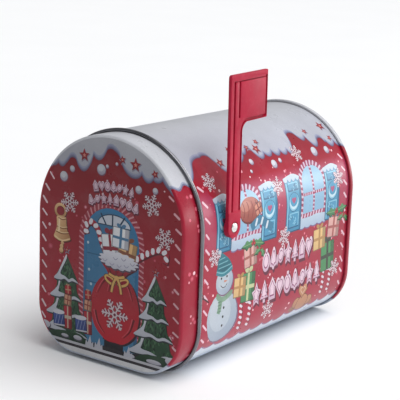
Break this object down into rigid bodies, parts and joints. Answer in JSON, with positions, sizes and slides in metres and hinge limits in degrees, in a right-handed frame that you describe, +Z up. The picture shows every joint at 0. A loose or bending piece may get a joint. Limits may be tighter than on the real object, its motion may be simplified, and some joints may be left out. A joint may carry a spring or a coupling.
{
  "type": "tin money box",
  "caption": "Mailbox-shaped pressed tin money box with a slip-on front lid, a seamed rear panel with a coin slot and a plastic flag that swings down on a rivet.",
  "frame": {"origin": "middle of the bounding box's base, on the surface the tin stands on; the tin's centre plane is at x = -0.0018 m, because the flag stands out on the +X side", "axes": "+Z up, -Y out of the front lid, +X towards the flag's side"},
  "size_m": [0.1086, 0.1718, 0.1641],
  "materials": {
    "printed_tinplate": "gloss lithographed tinplate, winter print",
    "printed_panel": "gloss lithographed tinplate, winter print",
    "printed_lid": "gloss lithographed tinplate, bare rolled edge",
    "flag_plastic": "satin injection-moulded red plastic",
    "rivet_metal": "nickel plated",
    "washer_metal": "plain steel"
  },
  "bodies": {
    "tin": {"barrel": "printed_tinplate", "rear_panel": "printed_panel", "flag_rivet": "rivet_metal", "flag_spacer": "washer_metal", "rivet_washer": "washer_metal"},
    "lid": {"front_lid": "printed_lid"},
    "flag": {"flag": "flag_plastic"}
  },
  "joints": [
    {"name": "lid_pull", "type": "slide", "parent": "tin", "child": "lid", "axis": [0, -1, 0], "range_m": [0, 0.04]},
    {"name": "flag_swing", "type": "hinge", "parent": "tin", "child": "flag", "pos_m": [0.0503, -0.0475, 0.0814], "axis": [-1, 0, 0], "range_deg": [0, 91.5]}
  ]
}
